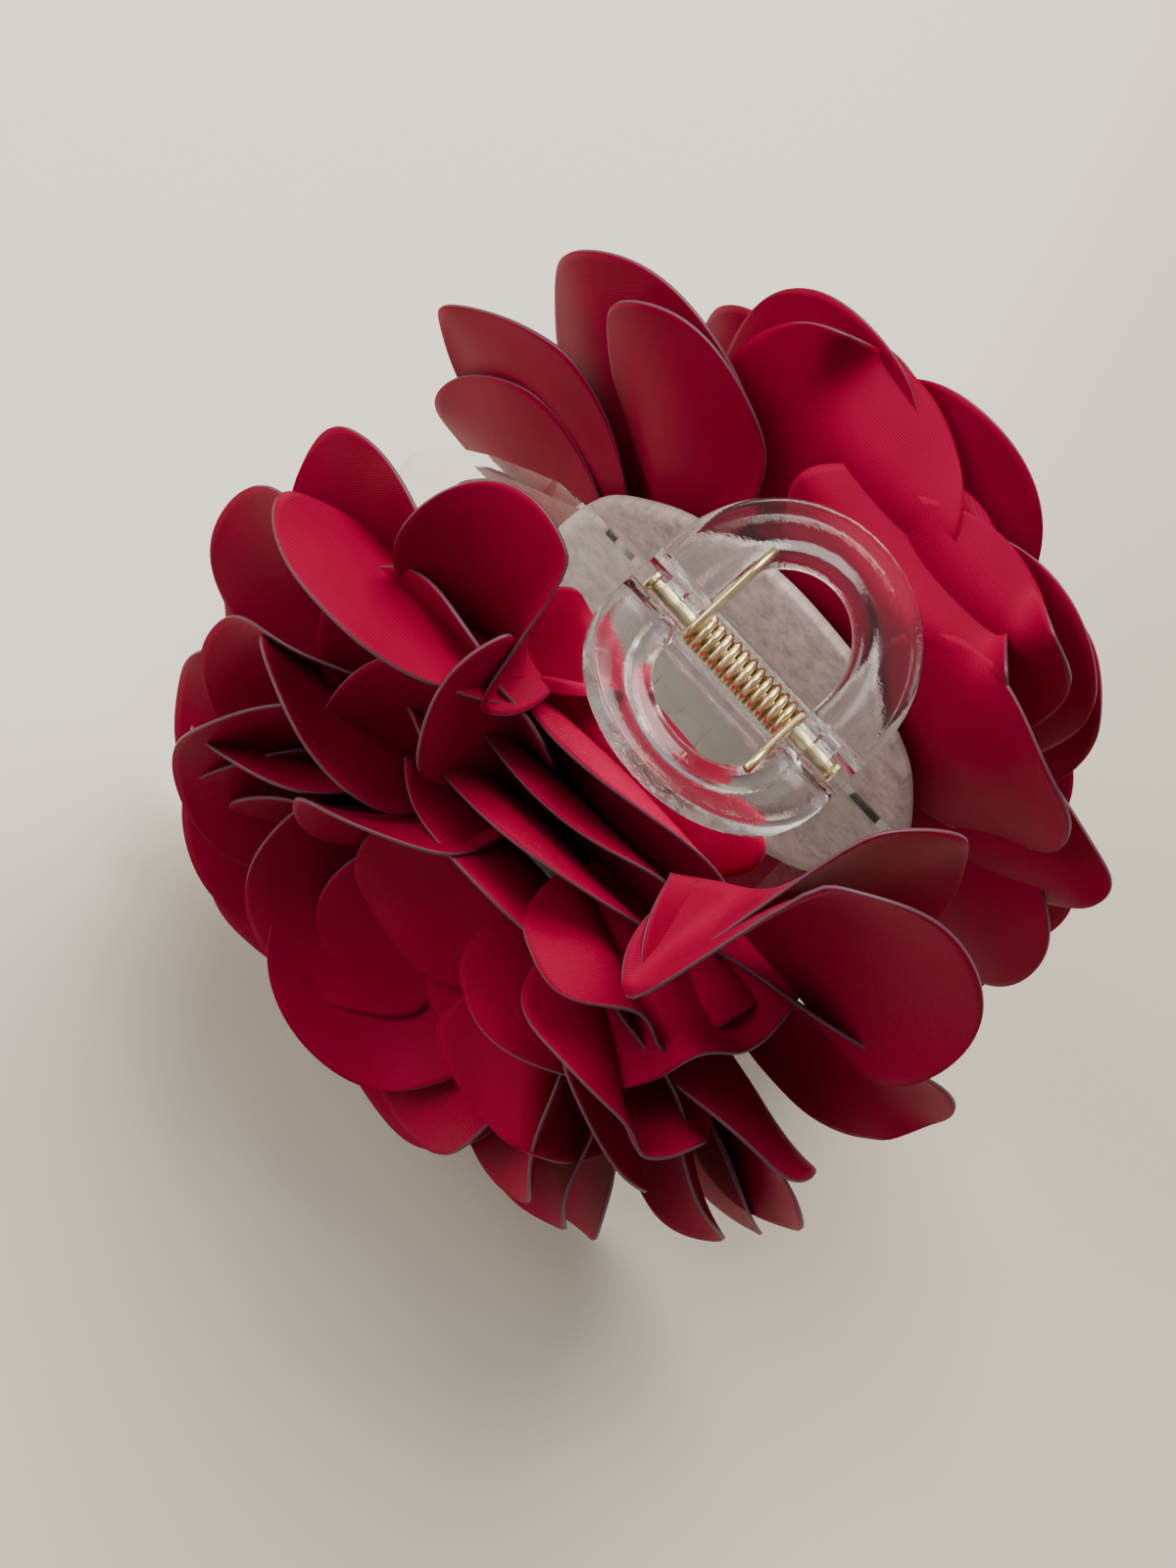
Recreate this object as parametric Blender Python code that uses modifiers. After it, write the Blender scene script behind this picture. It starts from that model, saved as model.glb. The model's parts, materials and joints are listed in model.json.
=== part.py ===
"""Flower hair clip: a clear two-jaw claw clip with a brass pin and torsion spring, and a fabric rosette
on the outer face of each jaw. Metres, +Z up, the hinge pin along X, the front jaw towards -Y.
The clip stands closed on the lower petals of both rosettes, with its two handles at the top."""

from math import cos, pi, radians, sin, sqrt

import bmesh
import bpy
from mathutils import Matrix, Vector

MM = 0.001

# Hinge and handles
HINGE_HEIGHT = 87.6 * MM  # the outermost petals are pressed flat where they stand
HANDLE_ANGLE = radians(68.5)  # each handle leans this far from the vertical
HANDLE_LENGTH = 21.5 * MM
HANDLE_HALF_WIDTH = 16.3 * MM
HANDLE_THICKNESS = 3.2 * MM
HANDLE_INNER_FACE = 0.75 * MM  # distance of the inner face from the hinge axis
WINDOW_HALF_WIDTH = 8.0 * MM
WINDOW_LENGTH = 14.0 * MM
ARCH_START = 5.0 * MM  # where the straight sides of handle and window turn into arcs
LEG_SLOT = (9.0 * MM, 12.2 * MM)  # middle of the slot beside the spring leg: along the pin, along the handle
LEG_SLOT_LENGTH = 4.4 * MM
LEG_SLOT_WIDTH = 1.1 * MM
LEG_SLOT_DEPTH = 0.9 * MM
KNUCKLE_RADIUS = 2.4 * MM
CLEARANCE_RADIUS = 2.75 * MM
BORE_RADIUS = 1.1 * MM
FRONT_KNUCKLE = (8.2 * MM, 10.4 * MM)
BACK_KNUCKLE = (10.8 * MM, 13.0 * MM)

# Hinge pin and torsion spring
PIN_RADIUS = 0.9 * MM
PIN_HEAD_RADIUS = 1.4 * MM
PIN_HALF_LENGTH = 14.8 * MM
PIN_HEAD_LENGTH = 1.0 * MM
WIRE_RADIUS = 0.525 * MM
COIL_RADIUS = 2.0 * MM
COIL_TURNS = 12
COIL_PITCH = 1.25 * MM
COIL_STEPS_PER_TURN = 12
LEG_LENGTH = 12.0 * MM

# Jaws
JAW_THICKNESS = 2.4 * MM
JAW_HALF_LENGTH = 49.0 * MM
JAW_FACE = 11.8 * MM  # middle of the jaw wall, where it stands upright
TOOTH_PITCH = 9.0 * MM
TOOTH_GAP_TOP = 4.2 * MM
TOOTH_GAP_FOOT = 6.4 * MM
TOOTH_ROOT = -36.5 * MM
TOOTH_TIP = -52.5 * MM
END_TOOTH_RISE = 7.0 * MM
FRONT_TOOTH_GAPS = (-40.5, -31.5, -22.5, -13.5, -4.5, 4.5, 13.5, 22.5, 31.5, 40.5)
BACK_TOOTH_GAPS = (-36.0, -27.0, -18.0, -9.0, 0.0, 9.0, 18.0, 27.0, 36.0)

# Backing of each rosette
FLOWER_DROP = 34.0 * MM  # the rosette's centre below the hinge
GLUE_FACE = 13.3 * MM
GLUE_THICKNESS = 0.6 * MM
GLUE_RADIUS = 14.0 * MM
FELT_FACE = 14.2 * MM
FELT_THICKNESS = 1.5 * MM
FELT_RADIUS = 29.0 * MM

# Petal layers: rim radius, distance of the rim from the hinge plane, number of petals
PETAL_LAYERS = (
    (54.0, 21.5, 9),
    (52.0, 28.0, 9),
    (48.0, 34.0, 8),
    (41.5, 40.0, 8),
    (33.5, 45.0, 7),
    (24.0, 49.5, 6),
)
PETAL_THICKNESS = 0.9 * MM
PETAL_EYE = 6.4 * MM
PETAL_FOOT = 16.9 * MM
PETAL_FOOT_STEP = 1.5 * MM
PETAL_STEPS = 3
PETAL_SEGMENTS = 36
PETAL_NOTCH = 0.09
HANDLE_ROOM = (18.6 * MM, 23.0 * MM, -2.2 * MM)  # half width, reach, floor of the room under a handle

MATERIALS = {
    "clear_plastic": ((0.86, 0.88, 0.88), 0.08, 0.0),
    "brass": ((0.72, 0.56, 0.28), 0.28, 1.0),
    "satin": ((0.36, 0.004, 0.02), 0.45, 0.0),
    "felt": ((0.46, 0.41, 0.42), 0.95, 0.0),
    "glue": ((0.8, 0.78, 0.7), 0.4, 0.0),
}


def clear_scene():
    for obj in list(bpy.data.objects):
        bpy.data.objects.remove(obj, do_unlink=True)


def new_collection(name, hidden=False):
    collection = bpy.data.collections.new(name)
    bpy.context.scene.collection.children.link(collection)
    collection.hide_render = hidden
    return collection


def new_material(name):
    colour, roughness, metallic = MATERIALS[name]
    material = bpy.data.materials.new(name)
    material.use_nodes = True
    shader = material.node_tree.nodes["Principled BSDF"]
    shader.inputs["Base Color"].default_value = (*colour, 1.0)
    shader.inputs["Roughness"].default_value = roughness
    shader.inputs["Metallic"].default_value = metallic
    return material


def add_mesh(name, mesh, collection, material=None):
    obj = bpy.data.objects.new(name, mesh)
    collection.objects.link(obj)
    if material:
        obj.data.materials.append(material)
    if collection.hide_render:
        obj.hide_render = True
        obj.display_type = "WIRE"
    return obj


def add_bmesh(name, bm, collection, material=None):
    mesh = bpy.data.meshes.new(name)
    bm.to_mesh(mesh)
    bm.free()
    return add_mesh(name, mesh, collection, material)


def box(name, low, high, collection):
    bm = bmesh.new()
    bmesh.ops.create_cube(bm, size=1.0)
    size = Vector(high) - Vector(low)
    middle = (Vector(high) + Vector(low)) / 2
    bmesh.ops.transform(bm, matrix=Matrix.Translation(middle) @ Matrix.Diagonal((*size, 1)), verts=bm.verts)
    return add_bmesh(name, bm, collection)


def rod(name, radius, start, end, collection, sides=32):
    """A cylinder along X, from x = start to x = end."""
    bm = bmesh.new()
    bmesh.ops.create_cone(
        bm, cap_ends=True, segments=sides, radius1=radius, radius2=radius, depth=end - start
    )
    turn = Matrix.Translation(((start + end) / 2, 0, 0)) @ Matrix.Rotation(pi / 2, 4, "Y")
    bmesh.ops.transform(bm, matrix=turn, verts=bm.verts)
    return add_bmesh(name, bm, collection)


def flat_outline(name, points, half_thickness, collection):
    """A plate in the XY plane, made from a filled 2D curve."""
    curve = bpy.data.curves.new(name, "CURVE")
    curve.dimensions = "2D"
    curve.fill_mode = "BOTH"
    curve.extrude = half_thickness
    spline = curve.splines.new("POLY")
    spline.points.add(len(points) - 1)
    for point, (x, y) in zip(spline.points, points):
        point.co = (x, y, 0, 1)
    spline.use_cyclic_u = True
    source = bpy.data.objects.new(name, curve)
    bm = bmesh.new()
    bm.from_mesh(bpy.data.meshes.new_from_object(source))
    bpy.data.objects.remove(source)
    bmesh.ops.remove_doubles(bm, verts=bm.verts, dist=1e-6)
    bmesh.ops.recalc_face_normals(bm, faces=bm.faces)
    return add_bmesh(name, bm, collection)


def boolean(obj, operation, other):
    modifier = obj.modifiers.new(f"{operation.lower()}_{other.name}", "BOOLEAN")
    modifier.operation = operation
    modifier.solver = "EXACT"
    modifier.object = other


def shade_smooth(obj, angle=radians(40)):
    """Smooth faces, with the edges sharper than the angle marked sharp."""
    mesh = obj.data
    bm = bmesh.new()
    bm.from_mesh(mesh)
    for edge in bm.edges:
        edge.smooth = len(edge.link_faces) == 2 and edge.calc_face_angle(0) < angle
    bm.to_mesh(mesh)
    bm.free()
    mesh.shade_smooth()


# Jaw halves. side is -1 for the front half and +1 for the back half.


def jaw_wall(name, side, collection, material):
    """The curved wall: a section drawn in the YZ plane, drawn out along X and thickened."""
    section = (
        (1.6, -0.2),
        (5.2, -1.5),
        (8.6, -3.8),
        (10.8, -7.0),
        (11.7, -11.0),
        (11.8, -18.0),
        (11.8, -33.0),
        (11.2, -38.0),
        (9.6, -42.5),
        (6.8, -46.6),
        (3.4, -49.4),
        (1.6, -50.4),
    )
    reach = JAW_HALF_LENGTH + 3 * MM
    bm = bmesh.new()
    verts = [bm.verts.new((-reach, side * y * MM, z * MM)) for y, z in section]
    edges = [bm.edges.new(pair) for pair in zip(verts, verts[1:])]
    swept = bmesh.ops.extrude_edge_only(bm, edges=edges)["geom"]
    moved = [item for item in swept if isinstance(item, bmesh.types.BMVert)]
    bmesh.ops.translate(bm, verts=moved, vec=(2 * reach, 0, 0))
    wall = add_bmesh(name, bm, collection, material)
    thick = wall.modifiers.new("thickness", "SOLIDIFY")
    thick.thickness = JAW_THICKNESS
    thick.offset = 0
    thick.use_even_offset = True
    return wall


def tooth_tip(x):
    return TOOTH_TIP + END_TOOTH_RISE * (x / JAW_HALF_LENGTH) ** 2


def jaw_outline(name, gaps, collection):
    """What the wall keeps, seen from the front: narrow at the hinge, wide below, with a comb of teeth."""
    flank = (
        (16.3, 4.0),
        (16.3, -2.5),
        (17.6, -8.0),
        (20.6, -13.6),
        (25.0, -18.6),
        (30.4, -23.4),
        (36.0, -28.2),
        (41.0, -33.0),
        (45.2, -37.5),
        (49.0, -42.5),
    )
    right = [(x * MM, z * MM) for x, z in flank]
    left = [(-x, z) for x, z in reversed(right)]
    comb = [(JAW_HALF_LENGTH - 1.2 * MM, tooth_tip(JAW_HALF_LENGTH))]
    for gap in reversed(gaps):
        x = gap * MM
        comb.append((x + TOOTH_GAP_FOOT / 2, tooth_tip(x)))
        comb.append((x + TOOTH_GAP_TOP / 2, TOOTH_ROOT - 1.5 * MM))
        comb.append((x + TOOTH_GAP_TOP / 4, TOOTH_ROOT))
        comb.append((x - TOOTH_GAP_TOP / 4, TOOTH_ROOT))
        comb.append((x - TOOTH_GAP_TOP / 2, TOOTH_ROOT - 1.5 * MM))
        comb.append((x - TOOTH_GAP_FOOT / 2, tooth_tip(x)))
    comb.append((-JAW_HALF_LENGTH + 1.2 * MM, tooth_tip(JAW_HALF_LENGTH)))
    plate = flat_outline(name, right + comb + left, 20 * MM, collection)
    plate.rotation_euler = (pi / 2, 0, 0)
    return plate


def arch(half_width, length, steps):
    """Points of an arch in the XY plane, from its right foot over the top to its left foot."""
    rise = length - ARCH_START
    return [
        (half_width * cos(pi * i / steps), ARCH_START + rise * sin(pi * i / steps)) for i in range(steps + 1)
    ]


def handle_plate(name, side, collection):
    """A D-shaped handle with a D-shaped window that is open towards the hinge."""
    foot = 1.0 * MM
    outer = arch(HANDLE_HALF_WIDTH, HANDLE_LENGTH, 24)
    window = arch(WINDOW_HALF_WIDTH, WINDOW_LENGTH, 16)
    feet_right = [(WINDOW_HALF_WIDTH, foot), (HANDLE_HALF_WIDTH - 0.02 * MM, foot)]
    feet_left = [(-HANDLE_HALF_WIDTH + 0.02 * MM, foot), (-WINDOW_HALF_WIDTH, foot)]
    points = feet_right + outer + feet_left + list(reversed(window))
    plate = flat_outline(name, points, HANDLE_THICKNESS / 2, collection)
    plate.rotation_euler = (pi / 2 - side * HANDLE_ANGLE, 0, 0)
    inward = Vector((0, -side * cos(HANDLE_ANGLE), sin(HANDLE_ANGLE)))
    plate.location = inward * (HANDLE_INNER_FACE - HANDLE_THICKNESS / 2)
    return plate


def leg_slot(name, side, collection):
    """A cutter for the blind slot in a handle's inner face, beside the end of its spring leg."""
    radius = LEG_SLOT_WIDTH / 2
    straight = LEG_SLOT_LENGTH / 2 - radius
    points = []
    for end in (1, -1):
        for i in range(9):
            turn = pi * i / 8
            points.append((end * radius * cos(turn), end * (straight + radius * sin(turn))))
    slot = flat_outline(name, points, LEG_SLOT_DEPTH, collection)
    across, along = LEG_SLOT
    inner_face = Vector((0, -side * cos(HANDLE_ANGLE), sin(HANDLE_ANGLE))) * HANDLE_INNER_FACE
    handle_way = Vector((0, side * sin(HANDLE_ANGLE), cos(HANDLE_ANGLE)))
    slot.rotation_euler = (pi / 2 - side * HANDLE_ANGLE, 0, 0)
    slot.location = Vector((-side * across, 0, 0)) + handle_way * along + inner_face
    return slot


def jaw_half(name, side, knuckle, gaps, parts, cutters, material):
    half = jaw_wall(name, side, parts, material)
    boolean(half, "INTERSECT", jaw_outline(f"{name}_outline", gaps, cutters))
    boolean(half, "UNION", handle_plate(f"{name}_handle", side, cutters))
    boolean(half, "DIFFERENCE", leg_slot(f"{name}_leg_slot", side, cutters))
    room = rod(f"{name}_coil_room", CLEARANCE_RADIUS, -20 * MM, 20 * MM, cutters)
    boolean(half, "DIFFERENCE", room)
    near, far = knuckle
    for end in (-1, 1):
        low, high = sorted((end * near, end * far))
        barrel = rod(f"{name}_barrel_{'left' if end < 0 else 'right'}", KNUCKLE_RADIUS, low, high, cutters)
        web_y = sorted((side * 0.4 * MM, side * 5.0 * MM))
        inset = 0.05 * MM
        web = box(
            f"{barrel.name}_web",
            (low + inset, web_y[0], -2.2 * MM),
            (high - inset, web_y[1], 1.1 * MM),
            cutters,
        )
        boolean(half, "UNION", barrel)
        boolean(half, "UNION", web)
    boolean(half, "DIFFERENCE", rod(f"{name}_bore", BORE_RADIUS, -22 * MM, 22 * MM, cutters))
    return half


# Hinge hardware


def hinge_pin(collection, material):
    """A turned pin with a flared head at each end."""
    head = PIN_HALF_LENGTH - PIN_HEAD_LENGTH
    profile = (
        (0.0, PIN_HALF_LENGTH),
        (PIN_HEAD_RADIUS * 0.8, PIN_HALF_LENGTH),
        (PIN_HEAD_RADIUS, PIN_HALF_LENGTH - 0.25 * MM),
        (PIN_HEAD_RADIUS, head + 0.3 * MM),
        (PIN_RADIUS, head),
        (PIN_RADIUS, -head),
        (PIN_HEAD_RADIUS, -head - 0.3 * MM),
        (PIN_HEAD_RADIUS, -PIN_HALF_LENGTH + 0.25 * MM),
        (PIN_HEAD_RADIUS * 0.8, -PIN_HALF_LENGTH),
        (0.0, -PIN_HALF_LENGTH),
    )
    return turned("hinge_pin", profile, 16, collection, material)


def turned(name, profile, steps, collection, material):
    bm = bmesh.new()
    verts = [bm.verts.new((r, 0, z)) for r, z in profile]
    for pair in zip(verts, verts[1:]):
        bm.edges.new(pair)
    obj = add_bmesh(name, bm, collection, material)
    screw = obj.modifiers.new("turn", "SCREW")
    screw.steps = steps
    screw.render_steps = steps
    screw.use_merge_vertices = True
    screw.merge_threshold = 1e-6
    return obj


def torsion_spring(collection, material):
    """Close coils round the pin, with one leg on the inner face of each handle."""
    back_along = Vector((0, sin(HANDLE_ANGLE), cos(HANDLE_ANGLE)))
    front_along = Vector((0, -sin(HANDLE_ANGLE), cos(HANDLE_ANGLE)))
    start_angle = pi / 2 + (pi / 2 - HANDLE_ANGLE)
    end_angle = HANDLE_ANGLE + 2 * pi * COIL_TURNS
    half_coil = COIL_TURNS * COIL_PITCH / 2
    count = COIL_TURNS * COIL_STEPS_PER_TURN
    coil = []
    for i in range(count + 1):
        angle = start_angle + (end_angle - start_angle) * i / count
        x = -half_coil + 2 * half_coil * i / count
        coil.append(Vector((x, COIL_RADIUS * cos(angle), COIL_RADIUS * sin(angle))))
    points = [coil[0] + back_along * LEG_LENGTH] + coil + [coil[-1] + front_along * LEG_LENGTH]
    curve = bpy.data.curves.new("torsion_spring", "CURVE")
    curve.dimensions = "3D"
    curve.bevel_depth = WIRE_RADIUS
    curve.bevel_resolution = 2
    curve.use_fill_caps = True
    spline = curve.splines.new("POLY")
    spline.points.add(len(points) - 1)
    for point, place in zip(spline.points, points):
        point.co = (*place, 1)
    spline.use_smooth = True
    spring = bpy.data.objects.new("torsion_spring", curve)
    collection.objects.link(spring)
    curve.materials.append(material)
    return spring


# Rosettes. Their axis is local Z, which points away from the jaw.


def disc(name, radius, thickness, foot, collection, material):
    bm = bmesh.new()
    bmesh.ops.create_cone(
        bm, cap_ends=True, segments=48, radius1=radius, radius2=radius, depth=thickness
    )
    bmesh.ops.translate(bm, verts=bm.verts, vec=(0, 0, foot + thickness / 2))
    obj = add_bmesh(name, bm, collection, material)
    shade_smooth(obj)
    return obj


def petal_layer(name, index, collection, material):
    """A shallow dish with a scalloped rim: one ring of petals that overlap each other."""
    rim_mm, depth_mm, petals = PETAL_LAYERS[index]
    rim = rim_mm * MM
    foot = PETAL_FOOT + PETAL_FOOT_STEP * index
    rise = depth_mm * MM - foot
    bm = bmesh.new()
    profile = []
    for step in range(PETAL_STEPS + 1):
        share = step / PETAL_STEPS
        profile.append(bm.verts.new((PETAL_EYE + (rim - PETAL_EYE) * share, 0, foot + rise * share**1.6)))
    edges = [bm.edges.new(pair) for pair in zip(profile, profile[1:])]
    bmesh.ops.spin(
        bm,
        geom=profile + edges,
        axis=(0, 0, 1),
        cent=(0, 0, 0),
        steps=PETAL_SEGMENTS,
        angle=2 * pi,
        use_merge=True,
    )
    bmesh.ops.remove_doubles(bm, verts=bm.verts, dist=1e-6)
    for vert in bm.verts:
        radius = sqrt(vert.co.x**2 + vert.co.y**2)
        share = (radius - PETAL_EYE) / (rim - PETAL_EYE)
        angle = Vector((vert.co.x, vert.co.y)).angle_signed(Vector((0, 1))) if radius else 0
        lobe = 1 - PETAL_NOTCH * share * (1 - abs(cos(petals * angle / 2 + 0.7 * index)))
        vert.co.x *= lobe
        vert.co.y *= lobe
    bmesh.ops.recalc_face_normals(bm, faces=bm.faces)
    obj = add_bmesh(name, bm, collection, material)
    thick = obj.modifiers.new("thickness", "SOLIDIFY")
    thick.thickness = PETAL_THICKNESS
    thick.offset = 0
    shade_smooth(obj, radians(70))
    return obj


def bud(name, collection, material):
    """The closed centre of the rosette, on a stem that runs back through the petal layers."""
    profile = (
        (0.0, 52.5),
        (5.5, 52.0),
        (9.0, 49.0),
        (11.0, 44.0),
        (10.5, 38.0),
        (7.5, 32.0),
        (5.4, 28.5),
        (5.4, 16.2),
        (0.0, 16.2),
    )
    obj = turned(name, [(r * MM, z * MM) for r, z in profile], 20, collection, material)
    return obj


def rosette(prefix, side, parent, parts, handle_room, table, materials):
    """Glue, felt, petal layers and bud of one side, facing along side * Y."""
    made = [
        disc(f"{prefix}_glue_pad", GLUE_RADIUS, GLUE_THICKNESS, GLUE_FACE, parts, materials["glue"]),
        disc(f"{prefix}_felt_backing", FELT_RADIUS, FELT_THICKNESS, FELT_FACE, parts, materials["felt"]),
    ]
    for index in range(len(PETAL_LAYERS)):
        layer = petal_layer(f"{prefix}_petal_layer_{index + 1}", index, parts, materials["satin"])
        if index < 2:
            boolean(layer, "DIFFERENCE", handle_room)
        if index == 0:
            boolean(layer, "DIFFERENCE", table)
        made.append(layer)
    made.append(bud(f"{prefix}_bud", parts, materials["satin"]))
    for obj in made:
        obj.parent = parent
        obj.location = (0, 0, -FLOWER_DROP)
        obj.rotation_euler = (-pi / 2, 0, 0 if side > 0 else pi)


def pivot(name, collection):
    empty = bpy.data.objects.new(name, None)
    empty.location = (0, 0, HINGE_HEIGHT)
    collection.objects.link(empty)
    return empty


def attach(parent, objects):
    for obj in objects:
        obj.parent = parent


def main():
    clear_scene()
    parts = new_collection("flower_hair_clip")
    cutters = new_collection("cutters", hidden=True)
    materials = {name: new_material(name) for name in MATERIALS}
    front = pivot("front_half", parts)
    back = pivot("back_half_on_hinge", parts)

    front_jaw = jaw_half(
        "front_jaw", -1, FRONT_KNUCKLE, FRONT_TOOTH_GAPS, parts, cutters, materials["clear_plastic"]
    )
    back_jaw = jaw_half(
        "back_jaw", 1, BACK_KNUCKLE, BACK_TOOTH_GAPS, parts, cutters, materials["clear_plastic"]
    )
    pin = hinge_pin(parts, materials["brass"])
    pin.rotation_euler = (0, pi / 2, 0)
    spring = torsion_spring(parts, materials["brass"])
    half_width, reach, floor = HANDLE_ROOM
    handle_room = box("handle_room", (-half_width, -reach, floor), (half_width, reach, 60 * MM), cutters)
    table = box("table", (-0.1, -0.1, -HINGE_HEIGHT - 0.02), (0.1, 0.1, -HINGE_HEIGHT), cutters)
    attach(front, [front_jaw, pin, spring])
    attach(back, [back_jaw])
    attach(front, list(cutters.objects))
    rosette("front", -1, front, parts, handle_room, table, materials)
    rosette("back", 1, back, parts, handle_room, table, materials)


main()
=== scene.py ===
"""The looks of the flower hair clip: satin petals, felt, clear plastic and brass on the CAD frame."""

import json
from math import cos, pi, radians, sin
from random import Random

import bmesh
import bpy
import numpy as np
from mathutils import Matrix, Vector


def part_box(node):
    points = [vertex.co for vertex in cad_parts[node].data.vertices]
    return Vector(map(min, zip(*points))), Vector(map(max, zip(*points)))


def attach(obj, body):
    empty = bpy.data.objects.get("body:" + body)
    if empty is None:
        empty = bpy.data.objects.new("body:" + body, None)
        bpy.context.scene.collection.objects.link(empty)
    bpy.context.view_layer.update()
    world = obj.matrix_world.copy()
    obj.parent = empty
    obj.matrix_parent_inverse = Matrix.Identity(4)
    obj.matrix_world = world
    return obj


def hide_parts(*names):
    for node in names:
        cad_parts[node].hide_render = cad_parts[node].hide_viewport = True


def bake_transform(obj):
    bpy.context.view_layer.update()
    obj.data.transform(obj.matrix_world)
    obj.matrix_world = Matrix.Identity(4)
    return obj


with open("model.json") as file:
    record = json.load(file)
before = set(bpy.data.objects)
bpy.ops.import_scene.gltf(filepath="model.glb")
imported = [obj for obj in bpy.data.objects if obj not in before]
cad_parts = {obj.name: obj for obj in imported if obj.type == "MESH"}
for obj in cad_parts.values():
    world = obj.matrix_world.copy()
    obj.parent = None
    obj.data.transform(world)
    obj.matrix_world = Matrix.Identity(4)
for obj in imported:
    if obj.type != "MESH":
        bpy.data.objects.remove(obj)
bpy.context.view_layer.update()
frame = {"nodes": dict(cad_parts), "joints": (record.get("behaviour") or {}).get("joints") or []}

MM = 0.001
HINGE = Vector(frame["joints"][0]["pos_m"])
SIDES = {"front": -1, "back": 1}

# Handle, as in the CAD
HANDLE_ANGLE = radians(68.5)
HANDLE_HALF_WIDTH = 16.3
HANDLE_LENGTH = 21.5
HANDLE_MIDDLE = -0.85  # the middle of its thickness, from the plane through the pin
WINDOW_HALF_WIDTH = 8.0
WINDOW_LENGTH = 14.0
ARCH_START = 5.0
HANDLE_FOOT = 3.0  # where the handle's blade meets the knuckles
KNUCKLE_DEPTH = 3.4
HANDLE_STEPS = 56  # sections of the handle round its arch
FOOT_STEP = 0.7  # between the sections on each straight foot
FOOT_GAP = 0.02  # the jaw is cut this much short of the handle's foot
JAW_EDGE = 0.4  # rounding of the jaw's edges

# Spring, as in the CAD but with more points in each turn
WIRE_RADIUS = 0.525
COIL_TURNS = 12
COIL_PITCH = 1.25
COIL_RADIUS = 2.0
COIL_STEPS = 28
LEG_LENGTH = 12.0

# Rosette
FLOWER_DROP = 34.0
FLOWER_FACE = 16.6  # the plane that the petals are fixed to, from the hinge plane
CLOTH_THICKNESS = 0.42
BUD_LAYER = 7  # the innermost petals, which stand for the CAD's bud

# Felt disc
FELT_RADIUS = 28.9
FELT_THICKNESS = 1.4
FELT_SIDES = 96
FELT_RINGS = 14
FELT_WOBBLE = 0.12  # how uneven its cut rim is

# How the cloth gives way to what it meets. Heights are from the hinge.
LEAN_BACK = {"front": 1.7, "back": 0.55}  # how far petals lean back for each step past the felt
LEAN_START = 30  # radius from which they may lean back
LEAN_REACH = 14  # and over how much of the radius
LEAN_FLOOR = -18  # height below which they don't
# Above the hinge each rosette keeps outside a slope, so that the two don't meet with the clip open
OPEN_SLOPE = {"front": 0.12, "back": 1.45}
OPEN_GAP = 1.5
HIGHEST = 60
BACKING_FADE = 1.2
UNDER_HANDLE = 4.0  # petals under a handle stay this far below the plane through the pin
HANDLE_MARGIN = 3.5  # beside the handle, petals are still pushed down a little
HANDLE_REACH = 42  # distance from the hinge plane at which the handle has no more effect
HANDLE_SOFTNESS = 4  # square millimetres: rounds the start of that push
OUT_FROM_HANDLE = 0.8  # outward push for each step down
TABLE_GAP = 0.5
TABLE_FADE = 6
FADE = 10


def add_object(name, data):
    obj = bpy.data.objects.new(name, data)
    bpy.context.scene.collection.objects.link(obj)
    return obj


def mesh_from(name, bm):
    mesh = bpy.data.meshes.new(name)
    bm.to_mesh(mesh)
    bm.free()
    return mesh


# Materials


def material(name):
    made = bpy.data.materials.new(name)
    made.use_nodes = True
    tree = made.node_tree
    return made, tree, tree.nodes["Principled BSDF"]


def node(tree, kind, **inputs):
    made = tree.nodes.new(kind)
    for key, value in inputs.items():
        made.inputs[key.replace("_", " ")].default_value = value
    return made


def add_bump(tree, shader, height, strength, distance):
    bump = node(tree, "ShaderNodeBump", Strength=strength, Distance=distance)
    tree.links.new(height, bump.inputs["Height"])
    tree.links.new(bump.outputs["Normal"], shader.inputs["Normal"])


def colour_from(tree, shader, noise, colours, places=(0.0, 1.0)):
    """The base colour runs from the first colour to the second, between two places of the noise."""
    ramp = tree.nodes.new("ShaderNodeValToRGB")
    for element, colour in zip(ramp.color_ramp.elements, colours):
        element.color = (*colour, 1)
    for element, place in zip(ramp.color_ramp.elements, places):
        element.position = place
    tree.links.new(noise.outputs["Fac"], ramp.inputs["Fac"])
    tree.links.new(ramp.outputs["Color"], shader.inputs["Base Color"])


def threads(tree, flat, direction, scale, distortion, detail):
    wave = node(tree, "ShaderNodeTexWave", Scale=scale, Distortion=distortion, Detail=detail)
    wave.wave_type = "BANDS"
    wave.bands_direction = direction
    tree.links.new(flat.outputs["UV"], wave.inputs["Vector"])
    return wave


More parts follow.
